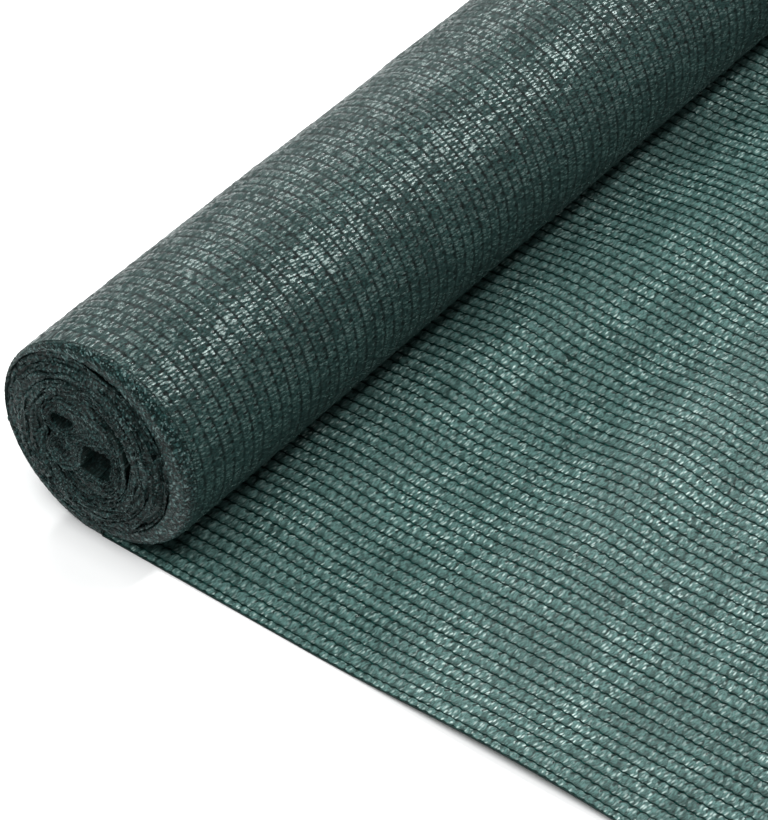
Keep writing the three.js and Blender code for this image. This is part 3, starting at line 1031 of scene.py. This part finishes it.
def roll_skin(sizes, near):
    """Half of the roll's outermost turn, closed: over the rim, along the side, and back inside.

    Rows go round the roll. Columns run from the inner edge of the rim along the side to the
    middle, a hair over it so that the halves' shading meets, then back along a plain inner wall.
    The side's radius is the turn's with its swells and crumples, less what the knit's relief
    leaves low. The rim is a flat ring and a quarter ellipse, by length along their section."""
    across, wales = wale_columns(sizes.wale_pitch / MM, ROLL_PLACES)
    rows = sizes.round_courses * ROLL_ROWS + 1
    courses = np.arange(rows) / ROLL_ROWS
    angle = (2 * math.pi * courses / sizes.round_courses)[:, None]
    relief = roll_relief(wales, courses, 31)
    split = NEAR_WALES * len(ROLL_PLACES)
    if near:
        part = slice(0, split + 1)
    else:
        part = slice(split, None)
    across, wales, relief = across[part], wales[part], relief[:, part]
    keep = across > SIDE_STOPS if near else across < CLOTH_WIDTH - SIDE_STOPS
    across, wales, relief = across[keep], wales[keep], relief[:, keep]

    drift = ROLL_DRIFT * side_drift(across, WALE_AND_COURSE[1] * courses[:, None])
    from_end = across + drift
    outer = turn_radius(angle) + roll_swell(from_end, angle)
    outer = outer + crumple(from_end, ROLL_RADIUS * angle) * np.sin(angle / 2) ** 2
    radius = outer - ROLL_RELIEF * (1 - relief)
    side = on_roll(from_end, angle, radius)
    side_uv = np.stack(np.broadcast_arrays(wales, courses[:, None]), axis=-1)

    end = 0.0 if near else CLOTH_WIDTH
    inwards = 1.0 if near else -1.0
    limit = turn_radius(angle) + roll_swell(end, angle) - 0.1
    edge = sleeve_edge(angle) if near else limit - FAR_CUFF
    band = np.minimum(RIM_ROUND, limit - edge)
    deep = rim_depth(angle)
    flat = limit - edge - band
    bend = BEND_SHARE * (band + deep)
    reach = (flat + bend) * np.linspace(0, 1, RIM_COLUMNS)
    bent = np.clip((reach - flat) / bend, 0, 1) * math.pi / 2
    rim_rise = np.random.default_rng(37).normal(0.5, 0.28, (rows, RIM_COLUMNS))
    rim_rise = np.clip(rim_rise, 0, 1)
    sunk = RIM_SUNK * (1 - rim_rise)
    rim_radius = edge + np.minimum(reach, flat) + band * np.sin(bent) - sunk * np.sin(bent)
    depth = deep * (1 - np.cos(bent)) + sunk * np.cos(bent)
    depth[:, 0] += TUCK
    rim_points = on_roll(end + inwards * depth, angle, rim_radius)
    start = wales[0] if near else wales[-1]
    rim_uv_wales = start - inwards * (reach[:, -1:] - reach + 1.0) / 3
    rim_uv = np.stack(np.broadcast_arrays(rim_uv_wales, courses[:, None]), axis=-1)

    rings = [end + inwards * ring for ring in INNER_RINGS]
    rings += [CLOTH_WIDTH / 2 - inwards * MIDDLE_GAP, across[-1] if near else across[0]]
    inner_radius = np.full((rows, len(rings)), INNER_RADIUS)
    inner = on_roll(np.array(rings[::-1] if near else rings), angle, inner_radius)
    plain, plain_uv = np.zeros((rows, len(rings))), np.zeros((rows, len(rings), 2))
    if near:
        lap = side[:, -1:] + [MIDDLE_LAP, 0, 0]
        columns = [rim_points, side, lap, inner]
        lifts = [rim_rise, relief, relief[:, -1:], plain]
        uvs = [rim_uv, side_uv, side_uv[:, -1:], plain_uv]
    else:
        lap = side[:, :1] - [MIDDLE_LAP, 0, 0]
        columns = [side, rim_points[:, ::-1], inner, lap]
        lifts = [relief, rim_rise[:, ::-1], plain, relief[:, :1]]
        uvs = [side_uv, rim_uv[:, ::-1], plain_uv, side_uv[:, :1]]
    points = np.concatenate(columns, axis=1)
    # The lift is the knit's relief and the rim's rise, so the material paints shade in their low
    # places.
    lift = np.concatenate(lifts, axis=1)
    uv = np.concatenate(uvs, axis=1)
    faces = quads(rows, points.shape[1], wrap_rows=True, wrap_columns=True)[:, ::-1]
    return points.reshape(-1, 3), [faces], uv.reshape(-1, 2), lift.ravel()


class FENCE_OT_roll_tapes(Operator):
    """Build the outermost turn of the roll, from its rims to its middle"""

    bl_idname = "fence_screen.roll_tapes"
    bl_label = "Roll side"

    def execute(self, context):
        sizes, colours = context.scene.fence_sizes, context.scene.fence_colours
        material = tape_material(
            "HDPE tape knitted and wound",
            colours.roll_tape,
            colours.roll_painted_shade,
            colours.roll_painted_glint,
            ROLL_LOOK,
            (colours.selvage, colours.selvage_painted_shade, colours.selvage_fleck_and_highlight, last_wale(sizes)),
        )
        for name in ("near", "far"):
            points, faces, uv, lift = roll_skin(sizes, name == "near")
            piece = make_piece("roll_tapes_" + name, points, faces, material, uv, lift)
            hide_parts("wound_roll")
        return {"FINISHED"}


# Columns of points across one wound turn, with each one's depth below the crest, and how much
# of the crest it has.
SPIRAL_COLUMNS = 4
GROOVE = np.array([0.9, 0.25, 0.0, 0.3])
CREST = np.array([0.0, 0.75, 1.0, 0.7])
# The slid turns stand out most at the proudest angle. At each of these turns, the share of that
# by which they stand out on the opposite side.
EVEN_TURNS = (2, 8)
EVEN_SHARES = (0.35, 1.0)
PROUDEST = math.radians(235)
# A slow and a quick ripple of each turn's edge, each with its height, shortest and longest wave
# and number of waves, then how far a turn wanders, as a share of its radius.
SLOW_RIPPLE = (0.34, 14, 90, 9)
QUICK_RIPPLE = (0.24, 3.8, 5.2, 5)
WANDER = (0.02, 20, 70, 7)
# How far a point of an edge stands out or lies aside by chance, and the lowest it may lie.
SPECK_DEPTH = 0.14
SPECK_ASIDE = 0.08
LOWEST_EDGE = 0.3
# A well is closed by a bowl: rings by their share of its depth and of its mouth's width.
BOWL = ((0.35, 0.94), (0.7, 0.75), (0.93, 0.4))
BACK = ((1.0, 1.0),)
# The bowls' lift, so low that the material paints them with shade.
BOWL_LIFT = 0.3


def wound_face(table, gaps, samples, well, back, seed, side):
    """The edges of wound turns as one closed shell: a spiral of rounded crests and grooves.

    Place: at angle a and turn t, the contour of t + a / 360 degrees, read from the table, round
    its own centre. Depth: the contour's face, plus the groove between turns, plus the gaps, plus
    each turn's own ripple. The spiral meets itself one turn on at a seam. Its inner edge drops
    to the bottom of a well, and its outer edge to a back, both as depths from the selvage."""
    start = table[0].turn
    turns = int(math.floor(table[-1].turn - start)) - 1
    columns = turns * SPIRAL_COLUMNS + SPIRAL_COLUMNS + 1
    angle = (2 * math.pi * np.arange(samples) / samples)[:, None]
    turn = start + np.arange(columns)[None, :] / SPIRAL_COLUMNS + angle / (2 * math.pi)
    contour = contours_at(table, turn)
    radius = contour_radius(contour, angle)
    y = contour["back"] + radius * np.sin(angle)
    z = contour["up"] - radius * np.cos(angle)
    place = np.arange(columns) % SPIRAL_COLUMNS
    crest = CREST[place]
    along = turn * 2 * math.pi * radius.mean()
    proud = 0.5 + 0.5 * np.cos(angle - PROUDEST)
    even = np.interp(turn, EVEN_TURNS, EVEN_SHARES)
    slid = np.where(contour["face"] < 0, even + (1 - even) * proud, 1.0)
    depth = contour["face"] * slid + GROOVE[place]
    slow, quick = SLOW_RIPPLE[0], QUICK_RIPPLE[0] * crest
    depth = depth + slow * ripples(along, *SLOW_RIPPLE[1:], seed)
    depth = depth + ripples(along, *QUICK_RIPPLE[1:], seed + 1) * quick
    for gap in gaps:
        apart = (np.degrees(angle) - gap.turned + 180) % 360 - 180
        opened = hump((turn - gap.turn) / gap.half_turn) * hump(apart / gap.half_angle)
        depth = depth + gap.depth * opened
    rng = np.random.default_rng(seed + 2)
    speck = rng.normal(0, 1, depth.shape)
    depth = depth - SPECK_DEPTH * speck
    wander = WANDER[0] * radius * ripples(along, *WANDER[1:], seed + 3)
    y = y + wander * np.sin(angle) + rng.normal(0, SPECK_ASIDE, depth.shape)
    z = z - wander * np.cos(angle) + rng.normal(0, SPECK_ASIDE, depth.shape)
    end = NEAR_SELVAGE if side < 0 else NEAR_SELVAGE + CLOTH_WIDTH
    x = end - side * depth
    points = np.stack([x, ROLL_LINE + y, np.maximum(AXIS_Z + z, LOWEST_EDGE)], axis=-1)
    # lift is low in the grooves and high on the crests and proud specks: the material paints shade
    # in the grooves and a highlight on the highest specks.
    lift = np.clip(0.14 + 0.46 * crest + 0.22 * speck, 0, 1)

    index = np.arange(samples * columns).reshape(samples, columns)
    seam = np.full(columns, -1)
    seam[:-SPIRAL_COLUMNS] = index[0, SPIRAL_COLUMNS:]
    after = np.concatenate([index[1:], seam[None]])
    corners = [index[:, :-1], index[:, 1:], after[:, 1:], after[:, :-1]]
    cells = np.stack(corners, axis=-1).reshape(-1, 4)
    cells = cells[(cells >= 0).all(axis=1)]
    outer = np.concatenate([index[:, 0], index[0, SPIRAL_COLUMNS:0:-1]])
    inner = np.concatenate([index[:, -1], index[-1, -2 : -2 - SPIRAL_COLUMNS : -1]])
    all_points = [points.reshape(-1, 3)]
    count = samples * columns
    faces = [cells[:, ::-1]]
    for loop, deep, turned in ((outer, back, False), (inner, well, True)):
        rim = all_points[0][loop]
        middle = rim.mean(axis=0)
        middle[0] = end - side * deep
        for share, reach in BOWL if turned else BACK:
            ring = middle + (rim - middle) * [1 - share, reach, reach]
            low = count + np.arange(len(loop))
            walls = np.stack([loop, low, np.roll(low, -1), np.roll(loop, -1)], axis=-1)
            faces.append(walls[:, ::-1] if turned else walls)
            all_points.append(ring)
            count, loop = count + len(loop), low
        hub = np.full(len(loop), count)
        fan = np.stack([loop, hub, np.roll(loop, -1)], axis=-1)
        faces.append(fan[:, ::-1] if turned else fan)
        all_points.append(middle[None])
        count += 1
    lift = np.concatenate([lift.ravel(), np.full(count - samples * columns, BOWL_LIFT)])
    if side < 0:
        faces = [f[:, ::-1] for f in faces]
    return np.concatenate(all_points), faces, lift


def joined(parts):
    """Several shells as one: points, face arrays and lift put end to end."""
    points, faces, lifts, count = [], [], [], 0
    for part_points, part_faces, part_lift in parts:
        points.append(part_points)
        faces += [f + count for f in part_faces]
        lifts.append(part_lift)
        count += len(part_points)
    return np.concatenate(points), faces, np.concatenate(lifts)


class FENCE_OT_roll_ends(Operator):
    """Build the wound ends of the roll: the turns' edges and the folds of the core"""

    bl_idname = "fence_screen.roll_ends"
    bl_label = "Roll ends"

    def execute(self, context):
        colours = context.scene.fence_colours
        material = speckled_material(
            "HDPE tape selvages",
            colours.selvage,
            colours.selvage_painted_shade,
            colours.selvage_fleck_and_highlight,
            EDGE_LOOK,
        )
        far_turns = [row._replace(face=0.6 - row.face * 0.9) for row in RIM_TURNS]
        far_lower = [row._replace(face=TELESCOPE + row.face) for row in LOWER_FOLD]
        far_upper = [row._replace(face=TELESCOPE + row.face) for row in UPPER_FOLD]
        # Each end: its name, its side along X, and its spirals, each with its table, gaps,
        # points round, well, back and seed.
        ends = (
            (
                "near",
                -1,
                (RIM_TURNS, RIM_GAPS, 400, 30, 32, 41),
                (LOWER_FOLD, LOWER_GAPS, 260, 10, 29, 51),
                (UPPER_FOLD, [], 220, 3, 27, 61),
                (SIDE_FOLD, [], 160, -3, 25, 66),
            ),
            (
                "far",
                1,
                (far_turns, [], 240, 30, 32, 71),
                (far_lower, [], 150, 20, 29, 81),
                (far_upper, [], 120, 14, 27, 91),
            ),
        )
        for name, side, *spirals in ends:
            points, faces, lift = joined([wound_face(*spiral, side) for spiral in spirals])
            piece = make_piece("roll_end_" + name, points, faces, material, None, lift)
            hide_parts("wound_roll")
        return {"FINISHED"}


# ---------------------------------------------------------------------------------------------
# The stage
# ---------------------------------------------------------------------------------------------

FLOOR_HALF = 4.0
FLOOR_BELOW = 0.0004

# Lights stand towards a direction at a distance from a place on the loose end, in metres.
Lamp = namedtuple("Lamp", "name toward distance size power")
LIT_PLACE = Vector((NEAR_SELVAGE * MM + 0.17, ROLL_LINE * MM - 0.08, 0.05))

# The camera's place from the near end of the roll's line on the ground, in metres, how far it
# looks down, its heading from +X towards +Y, and its lens in millimetres.
CAMERA_PLACE = Vector((NEAR_SELVAGE * MM - 0.8706, ROLL_LINE * MM - 0.8220, 1.1526))
CAMERA_PITCH = math.radians(42.30)
CAMERA_HEADING = math.radians(37.93)
CAMERA_LENS = 181.6


def area_light(name, place, target, size, power):
    """A soft light aimed at a target, its longer side level along X."""
    data = bpy.data.lights.new(name, "AREA")
    data.shape = "RECTANGLE"
    data.size, data.size_y = size
    data.energy = power
    light = bpy.data.objects.new(name, data)
    bpy.context.scene.collection.objects.link(light)
    back = (Vector(place) - Vector(target)).normalized()
    along = (Vector((1, 0, 0)) - back.x * back).normalized()
    turned = Matrix((along, back.cross(along), back)).transposed()
    light.matrix_world = Matrix.Translation(place) @ turned.to_4x4()
    return light


class FENCE_OT_stage(Operator):
    """Set up the floor, the soft studio light and the camera"""

    bl_idname = "fence_screen.stage"
    bl_label = "Stage"

    def execute(self, context):
        studio = context.scene.fence_studio
        scene = context.scene
        mesh = bpy.data.meshes.new("floor")
        corners = [(-1, -1), (1, -1), (1, 1), (-1, 1)]
        corners = [(FLOOR_HALF * x, FLOOR_HALF * y, -FLOOR_BELOW) for x, y in corners]
        mesh.from_pydata(corners, [], [(0, 1, 2, 3)])
        material = bpy.data.materials.new("Matt painted board")
        material.use_nodes = True
        shader = material.node_tree.nodes["Principled BSDF"]
        shader.inputs["Base Color"].default_value = rgba(studio.floor)
        shader.inputs["Roughness"].default_value = 0.9
        shader.inputs["Specular IOR Level"].default_value = 0.2
        mesh.materials.append(material)
        floor = bpy.data.objects.new("floor", mesh)
        scene.collection.objects.link(floor)

        world = bpy.data.worlds.new("studio")
        world.use_nodes = True
        background = world.node_tree.nodes["Background"]
        background.inputs["Color"].default_value = (1, 1, 1, 1)
        background.inputs["Strength"].default_value = studio.world
        scene.world = world

        for lamp in (
            Lamp("key", (-0.36, 0.12, 0.92), 1.8, (1.6, 1.2), studio.key),
            Lamp("crest_strip", (0.57, 0.64, 0.51), 2.0, (1.5, 0.3), studio.crest),
            Lamp("front_strip", (0.57, -0.32, 0.75), 2.0, (1.4, 0.25), studio.band),
        ):
            place = LIT_PLACE + lamp.distance * Vector(lamp.toward).normalized()
            area_light(lamp.name, place, LIT_PLACE, lamp.size, lamp.power)

        level = math.cos(CAMERA_PITCH)
        ahead = (math.cos(CAMERA_HEADING) * level, math.sin(CAMERA_HEADING) * level)
        forward = Vector((*ahead, -math.sin(CAMERA_PITCH)))
        data = bpy.data.cameras.new("camera")
        data.sensor_width = 36
        data.lens = CAMERA_LENS
        data.clip_start, data.clip_end = 0.05, 50
        camera = bpy.data.objects.new("camera", data)
        scene.collection.objects.link(camera)
        turned = forward.to_track_quat("-Z", "Y").to_matrix().to_4x4()
        camera.matrix_world = Matrix.Translation(CAMERA_PLACE) @ turned
        scene.camera = camera
        scene.view_settings.view_transform = "Standard"
        return {"FINISHED"}


OPERATORS = (
    FENCE_OT_stage,
    FENCE_OT_loose_cloth,
    FENCE_OT_loose_tapes,
    FENCE_OT_loose_stitches,
    FENCE_OT_roll_tapes,
    FENCE_OT_roll_ends,
)


class FENCE_PT_panel(Panel):
    """The fence screen's sizes, colours, light and build steps"""

    bl_idname = "FENCE_PT_panel"
    bl_label = "Fence Screen"
    bl_space_type = "VIEW_3D"
    bl_region_type = "UI"
    bl_category = "Fence Screen"

    def draw(self, context):
        layout = self.layout
        for group in (
            context.scene.fence_sizes,
            context.scene.fence_colours,
            context.scene.fence_studio,
        ):
            for name in group.__annotations__:
                layout.prop(group, name)
        for operator in OPERATORS:
            layout.operator(operator.bl_idname)


CLASSES = (FenceNetSizes, FenceNetColours, FenceStudio, *OPERATORS, FENCE_PT_panel)


def register():
    for cls in CLASSES:
        bpy.utils.register_class(cls)
    bpy.types.Scene.fence_sizes = PointerProperty(type=FenceNetSizes)
    bpy.types.Scene.fence_colours = PointerProperty(type=FenceNetColours)
    bpy.types.Scene.fence_studio = PointerProperty(type=FenceStudio)


def unregister():
    del bpy.types.Scene.fence_sizes
    del bpy.types.Scene.fence_colours
    del bpy.types.Scene.fence_studio
    for cls in reversed(CLASSES):
        bpy.utils.unregister_class(cls)


def main():
    register()
    bpy.ops.fence_screen.stage()
    bpy.ops.fence_screen.loose_cloth()
    bpy.ops.fence_screen.loose_tapes()
    bpy.ops.fence_screen.loose_stitches()
    bpy.ops.fence_screen.roll_tapes()
    bpy.ops.fence_screen.roll_ends()


if __name__ == "__main__":
    main()
